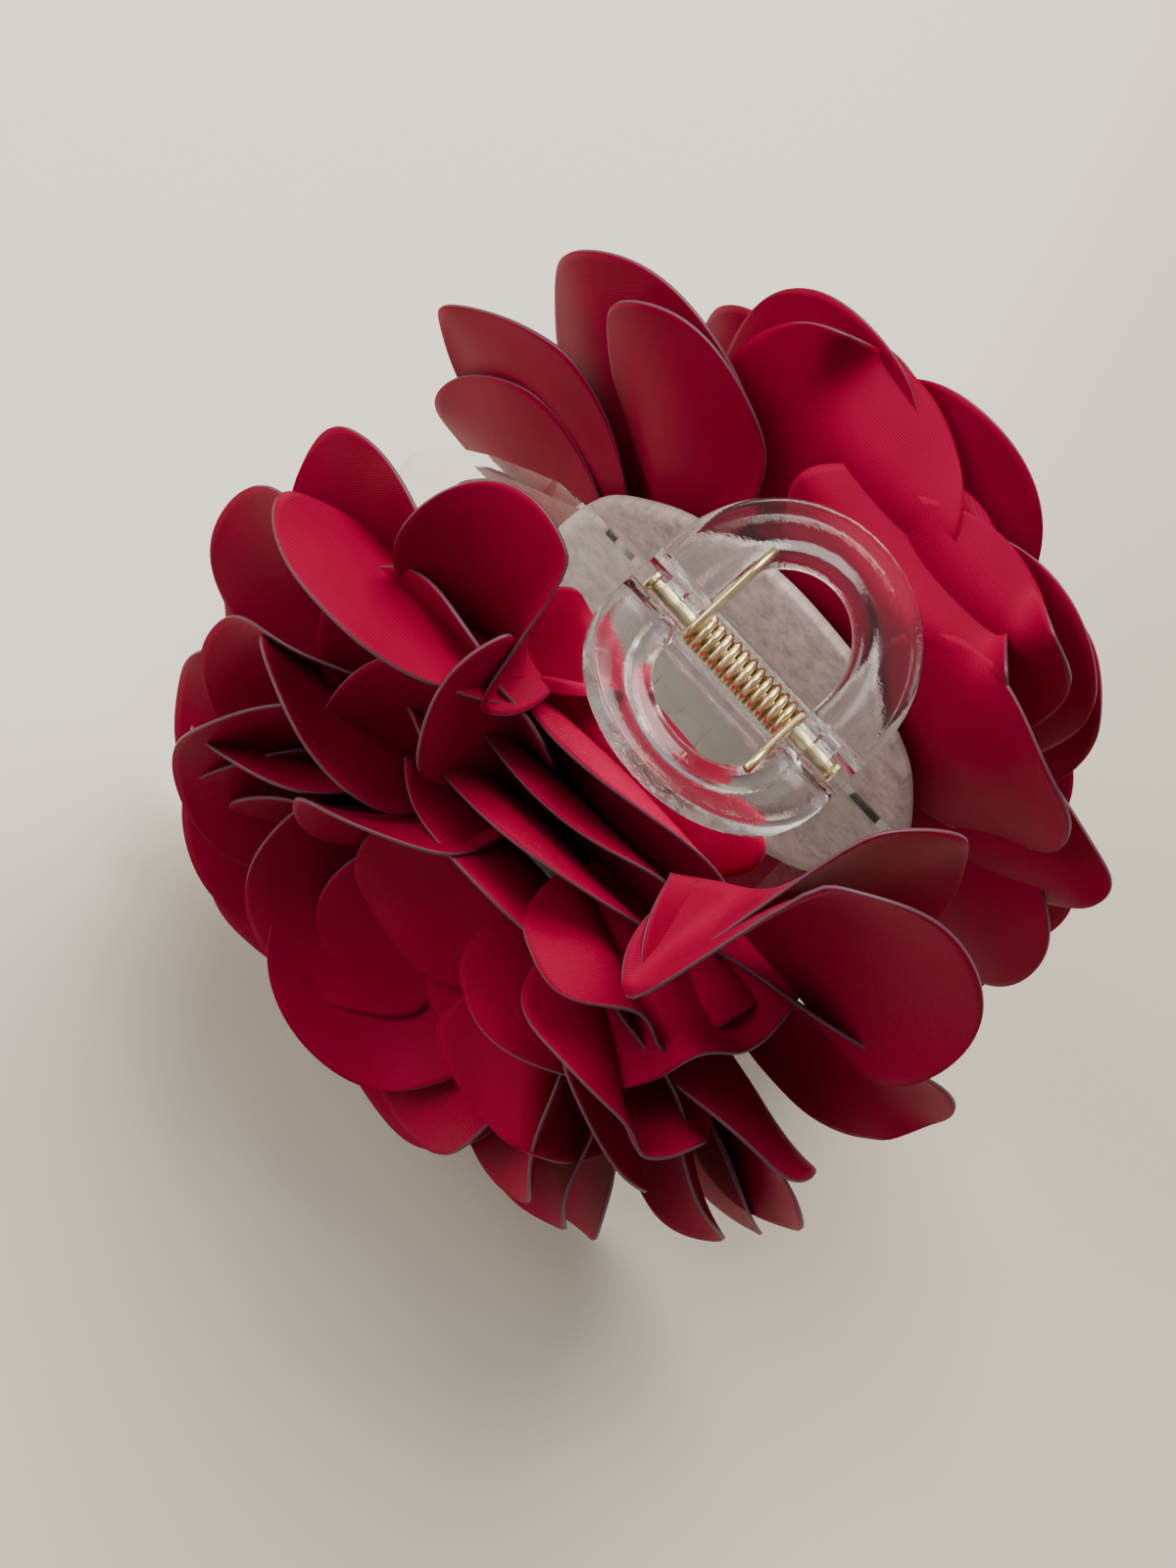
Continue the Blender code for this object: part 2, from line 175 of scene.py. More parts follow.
def satin(name, colour, dark):
    """Woven satin: a fine weave in the flat cloth's own coordinates, and soft broad colour drift."""
    made, tree, shader = material(name)
    link = tree.links.new
    flat = tree.nodes.new("ShaderNodeUVMap")
    flat.uv_map = "flat_mm"
    warp = threads(tree, flat, "X", 1.15, 0.6, 1.0)
    weft = threads(tree, flat, "Y", 0.95, 1.2, 2.0)
    weave = tree.nodes.new("ShaderNodeMath")
    weave.operation = "MULTIPLY_ADD"
    weave.inputs[1].default_value = 0.6
    link(warp.outputs["Color"], weave.inputs[0])
    link(weft.outputs["Color"], weave.inputs[2])
    drift = node(tree, "ShaderNodeTexNoise", Scale=0.09, Detail=3.0)
    link(flat.outputs["UV"], drift.inputs["Vector"])
    mix = tree.nodes.new("ShaderNodeMix")
    mix.data_type = "RGBA"
    mix.inputs[6].default_value = (*dark, 1)
    mix.inputs[7].default_value = (*colour, 1)
    link(drift.outputs["Fac"], mix.inputs[0])
    fleck = tree.nodes.new("ShaderNodeMix")
    fleck.data_type = "RGBA"
    fleck.blend_type = "MULTIPLY"
    fleck.inputs[0].default_value = 0.16
    link(mix.outputs[2], fleck.inputs[6])
    link(weave.outputs["Value"], fleck.inputs[7])
    link(fleck.outputs[2], shader.inputs["Base Color"])
    add_bump(tree, shader, weave.outputs["Value"], 0.25, 0.00006)
    shader.inputs["Roughness"].default_value = 0.46
    shader.inputs["Specular IOR Level"].default_value = 0.09
    shader.inputs["Specular Tint"].default_value = (1.0, 0.25, 0.4, 1)
    shader.inputs["Sheen Weight"].default_value = 0.05
    shader.inputs["Sheen Roughness"].default_value = 0.35
    shader.inputs["Sheen Tint"].default_value = (1.0, 0.08, 0.25, 1)
    return made


def fused_edge():
    """The melted edge of a heat-cut petal: dull brown purple, a little beaded."""
    made, tree, shader = material("fused_edge")
    noise = node(tree, "ShaderNodeTexNoise", Scale=900.0, Detail=3.0)
    colour_from(tree, shader, noise, ((0.035, 0.006, 0.014), (0.15, 0.045, 0.075)), (0.3, 0.72))
    shader.inputs["Roughness"].default_value = 0.5
    return made


def clear_plastic(name, colour, refraction, ripple, coat=0.0):
    """Clear moulded plastic, with a faint ripple. Rays to the lamps pass through it almost undimmed."""
    made, tree, shader = material(name)
    through = tree.nodes.new("ShaderNodeBsdfTransparent")
    through.inputs["Color"].default_value = (0.93, 0.94, 0.94, 1)
    path = tree.nodes.new("ShaderNodeLightPath")
    mix = tree.nodes.new("ShaderNodeMixShader")
    tree.links.new(path.outputs["Is Shadow Ray"], mix.inputs[0])
    tree.links.new(shader.outputs[0], mix.inputs[1])
    tree.links.new(through.outputs[0], mix.inputs[2])
    tree.links.new(mix.outputs[0], tree.nodes["Material Output"].inputs["Surface"])
    noise = node(tree, "ShaderNodeTexNoise", Scale=60.0, Detail=2.0)
    add_bump(tree, shader, noise.outputs["Fac"], ripple, 0.0004)
    shader.inputs["Base Color"].default_value = (*colour, 1)
    shader.inputs["Roughness"].default_value = 0.015
    shader.inputs["IOR"].default_value = refraction
    shader.inputs["Coat Weight"].default_value = coat
    shader.inputs["Transmission Weight"].default_value = 1.0
    return made


def brass():
    made, tree, shader = material("brass_wire")
    noise = node(tree, "ShaderNodeTexNoise", Scale=420.0, Detail=4.0)
    colour_from(tree, shader, noise, ((0.42, 0.31, 0.13), (0.80, 0.68, 0.40)), (0.25, 0.6))
    add_bump(tree, shader, noise.outputs["Fac"], 0.15, 0.00005)
    shader.inputs["Metallic"].default_value = 1.0
    shader.inputs["Roughness"].default_value = 0.27
    return made


def felt_material():
    made, tree, shader = material("felt")
    fibres = node(tree, "ShaderNodeTexNoise", Scale=180.0, Detail=6.0, Roughness=0.7)
    clouds = node(tree, "ShaderNodeTexNoise", Scale=24.0, Detail=8.0, Roughness=0.72)
    colour_from(tree, shader, clouds, ((0.30, 0.225, 0.215), (0.60, 0.48, 0.455)), (0.36, 0.6))
    add_bump(tree, shader, fibres.outputs["Fac"], 0.5, 0.0003)
    shader.inputs["Roughness"].default_value = 0.95
    shader.inputs["Sheen Weight"].default_value = 0.3
    return made


def glue_material():
    made, tree, shader = material("hot_glue")
    noise = node(tree, "ShaderNodeTexNoise", Scale=200.0, Detail=2.0)
    add_bump(tree, shader, noise.outputs["Fac"], 0.3, 0.0005)
    shader.inputs["Base Color"].default_value = (0.8, 0.78, 0.72, 1)
    shader.inputs["Roughness"].default_value = 0.3
    shader.inputs["Transmission Weight"].default_value = 0.4
    return made


def floor_material():
    made, tree, shader = material("table_top")
    noise = node(tree, "ShaderNodeTexNoise", Scale=3.0, Detail=2.0)
    colour_from(tree, shader, noise, ((0.62, 0.565, 0.465), (0.66, 0.605, 0.505)))
    shader.inputs["Roughness"].default_value = 0.22
    return made


# The jaw's thin walls get a refraction far below a real plastic's 1.46, which shows as dark dashes there.
SATIN = satin("satin", (0.29, 0.0006, 0.034), (0.19, 0.0003, 0.017))
EDGE = fused_edge()
HANDLE_ACRYLIC = clear_plastic("clear_acrylic", (0.985, 0.99, 0.99), 1.46, 0.1)
JAW_ACRYLIC = clear_plastic("clear_acrylic_thin", (0.955, 0.965, 0.97), 1.03, 0.1, coat=0.8)
BRASS = brass()
FELT = felt_material()
GLUE = glue_material()


# Petals


class Petal:
    """One heat-cut piece of satin and how it is bent. Lengths in millimetres, angles in degrees.

    angle is where it sits round the rosette (0 towards +X, 90 up), foot_r and foot_y where it starts, lift
    its slope out of the rosette's plane at the foot and at the tip, cup its curl across, roll its turn about
    its own midline, swing its turn in its own plane, curl the backward bend of its tip, ruffle the height of
    the waves in its rim, point how much narrower its tip is cut, folds a list of (place across, angle) where
    the cloth is bent along its length, seed what its waves are drawn from."""

    def __init__(self, angle, length, width, foot_r, foot_y, lift, cup, roll, swing, curl, ruffle, point,
                 folds=(), seed=0):
        self.angle = radians(angle)
        self.length, self.width = length, width
        self.foot_r, self.foot_y = foot_r, foot_y
        self.lift = [radians(value) for value in lift]
        self.cup, self.roll, self.swing = radians(cup), radians(roll), radians(swing)
        self.curl, self.ruffle, self.point = radians(curl), ruffle, point
        self.folds = folds
        self.seed = seed


PETAL_CELLS = 16  # along each side of a petal's grid
ALONG_POINTS = 80  # of the curve from foot to tip
ACROSS_POINTS = 81  # of the curve from side to side, with one in the middle
CURL_START, CURL_SPAN = 0.7, 0.3
RUFFLE_START, RUFFLE_SPAN = 0.4, 0.6
FOLD_WIDTH = 1.3
RIM_ROLL = 0.5


def petal_outline(petal):
    """The cut petal as a square grid rounded to its outline: flat x and y, how near each point is to the rim,
    and its direction from the middle."""
    line = np.linspace(-1, 1, PETAL_CELLS + 1)
    u, v = np.meshgrid(line, line)
    x = u * np.sqrt(1 - v**2 / 2)
    y = v * np.sqrt(1 - u**2 / 2)
    share = (y + 1) / 2
    waist = 0.62 + 0.38 * np.sin(pi / 2 * np.clip(share / 0.55, 0, 1))
    tip = 1 - petal.point * np.clip((share - 0.55) / 0.45, 0, 1) ** 1.5
    rim = np.sqrt(np.clip(x**2 + y**2, 0, 1))
    return x * petal.width / 2 * waist * tip, share * petal.length, rim, np.arctan2(y, x)


def bent_petal(petal):
    """The petal's points in the rosette's frame: x, z in its plane and y outwards, in millimetres."""
    rng = Random(petal.seed)
    flat_x, flat_y, rim, around = petal_outline(petal)
    steps = np.linspace(0, petal.length, ALONG_POINTS)
    share = steps / petal.length
    slope = petal.lift[0] + (petal.lift[1] - petal.lift[0]) * share
    slope = slope - petal.curl * np.clip((share - CURL_START) / CURL_SPAN, 0, 1) ** 1.5
    stride = petal.length / (ALONG_POINTS - 1)
    reach = np.concatenate([[0], np.cumsum(np.cos(slope[:-1]) * stride)])
    rise = np.concatenate([[0], np.cumsum(np.sin(slope[:-1]) * stride)])
    along = np.interp(flat_y, steps, reach)
    out = np.interp(flat_y, steps, rise)
    lean = np.interp(flat_y, steps, slope)

    across = np.linspace(-petal.width / 2, petal.width / 2, ACROSS_POINTS)
    bend = petal.cup * across / (petal.width / 2)
    for place, angle in petal.folds:
        bend = bend + radians(angle) / (1 + np.exp(-(across - place) / FOLD_WIDTH))
    bend = bend - np.interp(0, across, bend)
    stride = across[1] - across[0]
    side = np.cumsum(np.cos(bend)) * stride
    inward = np.cumsum(np.sin(bend)) * stride
    middle = ACROSS_POINTS // 2
    side = side - side[middle]
    inward = inward - inward[middle]
    local_side = np.interp(flat_x, across, side)
    local_in = np.interp(flat_x, across, inward)

    wave = sum(
        rng.uniform(0.4, 1.0) * np.sin(count * around + rng.uniform(0, 2 * pi)) for count in (2, 3, 5)
    )
    edge = np.clip(rim - RUFFLE_START, 0, 1) / RUFFLE_SPAN
    local_in = local_in + petal.ruffle * wave * edge**1.7
    local_in = local_in - RIM_ROLL * edge**3

    rolled_side = local_side * cos(petal.roll) - local_in * sin(petal.roll)
    rolled_in = local_side * sin(petal.roll) + local_in * cos(petal.roll)
    radial = along - rolled_in * np.sin(lean)
    outward = out + rolled_in * np.cos(lean)
    swung = radial * cos(petal.swing) - rolled_side * sin(petal.swing)
    sideways = radial * sin(petal.swing) + rolled_side * cos(petal.swing)
    r = petal.foot_r + swung
    x = r * cos(petal.angle) - sideways * sin(petal.angle)
    z = r * sin(petal.angle) + sideways * cos(petal.angle)
    return x, petal.foot_y + outward, z, flat_x, flat_y


def smooth_step(value):
    value = np.clip(value, 0, 1)
    return value * value * (3 - 2 * value)


def settle(prefix, x, y, z):
    """From the rosette's frame to the hinge's. The cloth is pushed out by the felt and by the room that the
    opening clip needs, down and outwards by the handle over it, and is kept off the table. The pushes come
    in softly, so petals mostly keep their order."""
    out = y + FLOWER_FACE
    up = z - FLOWER_DROP
    beyond_felt = np.clip(np.hypot(x, z) - LEAN_START, 0, LEAN_REACH)
    backing = FLOWER_FACE - LEAN_BACK[prefix] * beyond_felt * smooth_step((up - LEAN_FLOOR) / FADE)
    backing = np.maximum(backing, OPEN_SLOPE[prefix] * np.clip(up, 0, HIGHEST) + OPEN_GAP)
    out = np.maximum(out, backing) + BACKING_FADE * np.exp(-np.abs(out - backing) / BACKING_FADE)
    beside = smooth_step((HANDLE_HALF_WIDTH + HANDLE_MARGIN - np.abs(x)) / HANDLE_MARGIN)
    near_handle = beside * smooth_step((HANDLE_REACH - out) / FADE)
    above = up - out * cos(HANDLE_ANGLE) / sin(HANDLE_ANGLE) + UNDER_HANDLE
    above = near_handle * (above + np.sqrt(above**2 + HANDLE_SOFTNESS)) / 2
    up = up - above
    out = out + OUT_FROM_HANDLE * above
    table = -HINGE.z / MM + TABLE_GAP
    low = np.clip(table + TABLE_FADE - up, 0, HIGHEST)
    pressed = table + TABLE_FADE - TABLE_FADE * (1 - np.exp(-low / TABLE_FADE))
    up = np.where(low > 0, pressed, up)
    return x, SIDES[prefix] * out, up


def sheet_object(name, grid, flat, thickness, cells=PETAL_CELLS):
    """A mesh from a square grid of points, with its flat cut as a UV map in millimetres."""
    verts = np.stack([axis.ravel() for axis in grid], 1) * MM + np.array(HINGE)
    size = cells + 1
    faces = [
        (row * size + col, row * size + col + 1, (row + 1) * size + col + 1, (row + 1) * size + col)
        for row in range(cells)
        for col in range(cells)
    ]
    mesh = bpy.data.meshes.new(name)
    mesh.from_pydata(verts.tolist(), [], faces)
    cut = mesh.uv_layers.new(name="flat_mm")
    flat_points = np.stack([axis.ravel() for axis in flat], 1)
    for loop in mesh.loops:
        cut.data[loop.index].uv = flat_points[loop.vertex_index]
    mesh.shade_smooth()
    obj = add_object(name, mesh)
    smooth = obj.modifiers.new("smooth", "SUBSURF")
    smooth.levels = 1
    smooth.render_levels = 1
    cloth = obj.modifiers.new("cloth", "SOLIDIFY")
    cloth.thickness = thickness
    cloth.offset = 0
    cloth.use_rim = True
    cloth.material_offset_rim = 1
    return obj


def add_petal(prefix, layer, number, petal):
    name = f"{prefix}_petal_{layer}_{number}"
    x, y, z, flat_x, flat_y = bent_petal(petal)
    grid = settle(prefix, x, y, z)
    obj = sheet_object(name, grid, (flat_x, flat_y), CLOTH_THICKNESS * MM)
    obj.data.materials.append(SATIN)
    obj.data.materials.append(EDGE)
    cad_node = f"{prefix}_petal_layer_{layer}" if layer < BUD_LAYER else f"{prefix}_bud"
    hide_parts(cad_node)
    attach(obj, f"{prefix}_half")


# Layers that fill the rosette, from its back to its centre: petals, first angle, length, width, foot radius,
# foot distance, lift at foot and tip, cup, roll
LAYERS = (
    (10, 8, 36, 36, 19, 0.6, (-2, 14), 24, 9),
    (10, 26, 36, 36, 16, 1.6, (12, 34), 30, 9),
    (10, 4, 34, 35, 13, 2.6, (26, 52), 36, 9),
    (9, 22, 31, 33, 10, 3.8, (40, 64), 42, 9),
    (7, 12, 28, 31, 7, 5.0, (54, 74), 50, 9),
    (6, 40, 23, 28, 4.5, 6.2, (68, 82), 60, 9),
    (5, 15, 20, 24, 2.5, 7.4, (74, 88), 70, 9),
)
TILT = {"front": 16, "back": -4}  # in degrees: upper petals lie this much flatter, lower ones steeper

# Arcs of each layer that hold shaped petals instead, as first and last angle
ALL_ROUND = (-180, 180)
SHAPED_ARCS = {
    "front": {
        1: (2, 178),
        2: (-2, 178),
        3: (-4, 182),
        4: (-20, 205),
        5: ALL_ROUND,
        6: ALL_ROUND,
        7: ALL_ROUND,
    },
    "back": {1: (-12, 182), 2: (4, 165), 3: (60, 105)},
}

# Folds along a petal: place across in millimetres and angle in degrees
Z_FOLD = ((-8, 75), (0, -135), (7, 80))
S_FOLD = ((-5, -70), (4, 120), (9, -60))

# Petals shaped one by one: layer, angle, foot_r, foot_y, swing, length, width, lift at foot and tip, cup,
# roll, curl, ruffle, point, folds
SHAPED = {
    "front": (
        (1, 148, 24, 1.0, 0, 35, 27, (-2, -8), 42, 14, 10, 0.4, 0.35),
        (1, 168, 22, 1.0, 0, 34, 34, (2, 8), 30, 8, 12, 0.4, 0.0),
        (1, 127, 32, 0.6, -18, 28, 25, (2, -16), 44, 6, 6, 0.3, 0.0),
        (1, 101, 9, 0.6, 0, 30, 46, (-5, 8), 8, 0, -86, 0.3, 0.0),
        (1, 97, 17, 0.2, 0, 26, 40, (-4, -66), 6, 0, 0, 0.2, 0.0),
        (1, 67, 31, 2.4, -8, 35, 29, (-6, -42), 30, 30, 6, 0.6, 0.4),
        (1, 30, 22, 0.6, 0, 36, 32, (-4, -2), 30, 9, 10, 0.4, 0.2),
        (2, 62, 35, 2.4, -10, 33, 37, (0, -12), 34, 6, 8, 0.5, 0.0),
        (2, 2, 18, 1.6, 0, 35, 34, (10, 24), 30, 9, 20, 0.5, 0.1),
        (2, 99, 5, 2.0, 0, 29, 44, (-2, 20), 12, 0, -70, 0.6, 0.0),
        (2, 132, 15, 2.2, 0, 33, 34, (4, 10), 40, 8, 14, 0.5, 0.0),
        (3, 110, 37, 4.6, 73, 35, 24, (4, 12), 24, -50, 8, 0.3, 0.15),
        (3, 118, 19, 3.4, -8, 30, 26, (4, 2), 30, 66, 6, 0.6, 0.0),
        (3, 101, 4, 3.2, 0, 29, 42, (4, 34), 14, 0, -55, 0.8, 0.0),
        (3, 24, 17, 2.6, 0, 34, 28, (12, 26), 40, 30, 10, 0.6, 0.3),
        (3, 172, 14, 3.0, 0, 34, 33, (14, 32), 36, 8, 14, 0.5, 0.0),
        (4, 136, 11, 4.2, 0, 27, 30, (10, 14), 36, 30, 8, 0.4, 0.0),
        (4, 153, 14, 4.4, 0, 31, 30, (20, 32), 30, -34, 8, 0.3, 0.0),
        (4, -167, 12, 4.2, 0, 33, 30, (24, 34), 44, -20, 8, 0.3, 0.0),
        (4, 92, 2, 4.4, 0, 27, 38, (10, 54), 14, 0, -30, 0.8, 0.0),
        (4, 42, 15, 4.0, -30, 26, 32, (26, 38), 36, 10, 8, 0.6, 0.2),
        (4, 10, 12, 4.0, 0, 30, 30, (34, 50), 40, 20, 12, 0.6, 0.1),
        (5, 63, 13, 4.4, -23, 27, 34, (26, 34), 20, 50, 6, 1.0, 0.0, Z_FOLD),
        (5, 74, 17, 3.6, -44, 29, 34, (18, 26), 20, 50, 6, 1.0, 0.0, S_FOLD),
        (5, -153, 12, 5.0, 0, 27, 28, (34, 46), 36, -12, 10, 0.4, 0.0),
        (5, 112, 10, 5.0, 60, 27, 30, (40, 50), 30, -10, 8, 0.4, 0.0),
        (5, 41, 11, 5.0, -14, 33, 34, (36, 46), 20, 40, 8, 1.2, 0.1, Z_FOLD),
        (6, 92, 7, 6.6, 150, 22, 26, (30, 42), 26, 0, 8, 0.3, 0.0),
        (6, -57, 0.4, 4.0, -58, 28, 27, (42, 52), 28, 0, 8, 0.3, 0.0),
        (6, -78, 5, 3.4, 38, 28, 27, (44, 54), 30, 0, 8, 0.3, 0.1),
        (6, 25, 9, 5.0, -37, 28, 32, (46, 58), 20, 50, 8, 1.2, 0.0, S_FOLD),
        (7, 63, 2, 5.2, -111, 24, 25, (38, 46), 26, 0, 6, 0.2, 0.0),
        (7, 69, 10, 5.4, -59, 23, 24, (46, 56), 50, 66, 6, 0.6, 0.0),
    ),
    "back": (
        (1, 172, 22, 0.9, 6, 37, 35, (0, 10), 22, 6, 6, 0.4, 0.5),
        (1, 134, 21, 0.9, 1, 33, 27, (2, 14), 26, 4, 8, 0.4, 0.0),
        (1, 114, 24, 3.6, -20, 31, 34, (12, 30), 16, 4, 8, 0.4, 0.0),
        (1, 88, 20, 0.8, -14, 31, 36, (0, 10), 18, 0, 12, 0.6, 0.0),
        (1, 48, 17.5, 0.3, -3, 33, 37, (-2, 8), 28, -4, 16, 0.6, 0.2),
        (1, -6, 22, 0.7, 6, 30, 34, (0, 8), 28, 6, 10, 0.5, 0.0),
        (2, 152, 19, 3.0, -6, 38, 38, (4, 18), 22, 4, 8, 0.4, 0.0),
        (2, 78, 20, 2.0, -18, 31, 34, (10, 24), 30, 2, 14, 0.5, 0.0),
        (2, 10, 20, 2.0, 24, 34, 26, (4, 14), 34, 8, 10, 0.5, 0.45),
        (2, 120, 17, 4.2, 0, 35, 34, (22, 42), 26, 8, 10, 0.4, 0.0),
        (3, 91, 16, 4.4, 0, 34, 34, (28, 44), 34, 6, 14, 0.5, 0.0),
        (3, 58, 16, 3.0, 0, 32, 34, (20, 36), 34, 6, 12, 0.5, 0.0),
    ),
}


def in_arc(angle, arc):
    first, last = arc
    return (angle - first) % 360 <= last - first


def rosette(prefix, seed):
    """The shaped petals, then the filling ones outside their arcs. A petal left out still takes its draws."""
    rng = Random(seed)
    made = [0] * (len(LAYERS) + 1)
    for layer, *shape in SHAPED[prefix]:
        angle, foot_r, foot_y, swing, length, width, lift, cup, roll, curl, ruffle, point = shape[:12]
        folds = shape[12] if len(shape) > 12 else ()
        made[layer] += 1
        petal = Petal(angle, length, width, foot_r, foot_y, lift, cup, roll, swing, curl, ruffle, point,
                      folds, seed=rng.randrange(10**6))
        add_petal(prefix, layer, made[layer], petal)
    for layer, (count, first, length, width, foot_r, foot_y, lift, cup, roll) in enumerate(LAYERS, 1):
        for number in range(count):
            angle = first + 360 * number / count + rng.uniform(-5, 5)
            lean = TILT[prefix] * sin(radians(angle)) + rng.uniform(-3, 3)
            petal = Petal(
                angle,
                length * rng.uniform(0.94, 1.06),
                width * rng.uniform(0.92, 1.1),
                foot_r,
                foot_y,
                (lift[0] - lean, lift[1] - lean + rng.uniform(-8, 8)),
                cup=cup * rng.uniform(0.8, 1.15),
                roll=roll + rng.uniform(-3, 5),
                swing=rng.uniform(-9, 9),
                curl=rng.uniform(8, 34),
                ruffle=rng.uniform(0.3, 0.8),
                point=rng.choice((0.0, 0.0, 0.1, 0.25)),
                seed=rng.randrange(10**6),
            )
            if layer in SHAPED_ARCS[prefix] and in_arc(angle, SHAPED_ARCS[prefix][layer]):
                continue
            made[layer] += 1
            add_petal(prefix, layer, made[layer], petal)


# Hard pieces


def round_edges(obj, width):
    edge = obj.modifiers.new("edges", "BEVEL")
    edge.width = width
    edge.segments = 3
    edge.limit_method = "ANGLE"
    edge.angle_limit = radians(35)


def dress_cad(name, look, bevel):
    obj = frame["nodes"][name]
    obj.data.materials.clear()
    obj.data.materials.append(look)
    round_edges(obj, bevel)


# Half of the handle's section: share of the way from its inner to its outer end, height in millimetres
HANDLE_PROFILE = (
    (0.0, 0.0),
    (0.015, 0.6),
    (0.06, 1.1),
    (0.13, 1.5),
    (0.2, 1.6),
    (0.27, 1.5),
    (0.34, 1.2),
    (0.42, 1.05),
    (0.6, 1.0),
    (0.8, 1.05),
    (0.88, 1.25),
    (0.94, 1.35),
    (0.985, 1.0),
    (1.0, 0.0),
)


def handle_stations():
    """Where the handle's section goes: its inner and outer end, across and along the handle."""
    stations = []
    for along in (HANDLE_FOOT, HANDLE_FOOT + FOOT_STEP, HANDLE_FOOT + 2 * FOOT_STEP):
        stations.append(((WINDOW_HALF_WIDTH, along), (HANDLE_HALF_WIDTH, along)))
    for i in range(HANDLE_STEPS + 1):
        a = pi * i / HANDLE_STEPS
        inner = (WINDOW_HALF_WIDTH * cos(a), ARCH_START + (WINDOW_LENGTH - ARCH_START) * sin(a))
        outer = (HANDLE_HALF_WIDTH * cos(a), ARCH_START + (HANDLE_LENGTH - ARCH_START) * sin(a))
        stations.append((inner, outer))
    for inner, outer in reversed(stations[:3]):
        stations.append(((-inner[0], inner[1]), (-outer[0], outer[1])))
    return stations


def handle_frame(side):
    """Unit vectors along the handle of this side and up out of its inner face."""
    along = Vector((0, side * sin(HANDLE_ANGLE), cos(HANDLE_ANGLE)))
    inward = Vector((0, -side * cos(HANDLE_ANGLE), sin(HANDLE_ANGLE)))
    return along, inward


def clip_handle(prefix):
    """The D-shaped handle: a flat blade with a round bead along its window and a thinner one outside."""
    along_way, inward = handle_frame(SIDES[prefix])
    section = [*HANDLE_PROFILE] + [(t, -h) for t, h in reversed(HANDLE_PROFILE[1:-1])]
    bm = bmesh.new()
    rows = []
    for inner, outer in handle_stations():
        row = []
        for t, h in section:
            across = inner[0] + (outer[0] - inner[0]) * t
            along = inner[1] + (outer[1] - inner[1]) * t
            place = Vector((across, 0, 0)) + along_way * along + inward * (HANDLE_MIDDLE + h)
            row.append(bm.verts.new(HINGE + place * MM))
        rows.append(row)
    count = len(section)
    for first, second in zip(rows, rows[1:]):
        for i in range(count):
            after = (i + 1) % count
            bm.faces.new((first[i], first[after], second[after], second[i]))
    bm.faces.new(rows[0])
    bm.faces.new(rows[-1])
    bmesh.ops.recalc_face_normals(bm, faces=bm.faces)
    mesh = mesh_from(f"{prefix}_handle", bm)
    mesh.shade_smooth()
    mesh.materials.append(HANDLE_ACRYLIC)
    obj = add_object(f"{prefix}_handle", mesh)
    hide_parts(f"{prefix}_jaw")
    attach(obj, f"{prefix}_half")


def clip_jaw(prefix):
    """The jaw with its knuckles: the CAD jaw up to the foot of the handle, with rounded edges."""
    along_way, _ = handle_frame(SIDES[prefix])
    bm = bmesh.new()
    bm.from_mesh(frame["nodes"][f"{prefix}_jaw"].data)
    bmesh.ops.remove_doubles(bm, verts=bm.verts, dist=1e-6)
    cut = HINGE + along_way * (HANDLE_FOOT - FOOT_GAP) * MM
    whole = bm.verts[:] + bm.edges[:] + bm.faces[:]
    made = bmesh.ops.bisect_plane(bm, geom=whole, plane_co=cut, plane_no=along_way, clear_outer=True)
    rim = [item for item in made["geom_cut"] if isinstance(item, bmesh.types.BMEdge)]
    bmesh.ops.holes_fill(bm, edges=rim, sides=0)
    bmesh.ops.recalc_face_normals(bm, faces=bm.faces)
    mesh = mesh_from(f"{prefix}_jaw_body", bm)
    mesh.materials.clear()
    mesh.materials.append(JAW_ACRYLIC)
    mesh.materials.append(HANDLE_ACRYLIC)
    for face in mesh.polygons:
        height = (face.center.z - HINGE.z) / MM
        knuckle = height > -KNUCKLE_DEPTH and abs(face.center.x) < HANDLE_HALF_WIDTH * MM
        face.material_index = int(knuckle)
    obj = add_object(f"{prefix}_jaw_body", mesh)
    round_edges(obj, JAW_EDGE * MM)
    mesh.shade_smooth()
    even = obj.modifiers.new("even", "WEIGHTED_NORMAL")
    even.keep_sharp = True
    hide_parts(f"{prefix}_jaw")
    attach(obj, f"{prefix}_half")


def spring_points():
    """The middle of the wire: the leg on the back handle, the coil, the leg on the front handle."""
    start = pi / 2 + (pi / 2 - HANDLE_ANGLE)
    end = HANDLE_ANGLE + 2 * pi * COIL_TURNS
    half = COIL_TURNS * COIL_PITCH / 2
    count = COIL_TURNS * COIL_STEPS
    coil = []
    for i in range(count + 1):
        angle = start + (end - start) * i / count
        x = -half + 2 * half * i / count
        coil.append(Vector((x, COIL_RADIUS * cos(angle), COIL_RADIUS * sin(angle))))
    back, _ = handle_frame(SIDES["back"])
    front, _ = handle_frame(SIDES["front"])
    first = [coil[0] + back * LEG_LENGTH * share for share in (1, 0.66, 0.33)]
    last = [coil[-1] + front * LEG_LENGTH * share for share in (0.33, 0.66, 1)]
    return [point * MM + HINGE for point in first + coil + last]


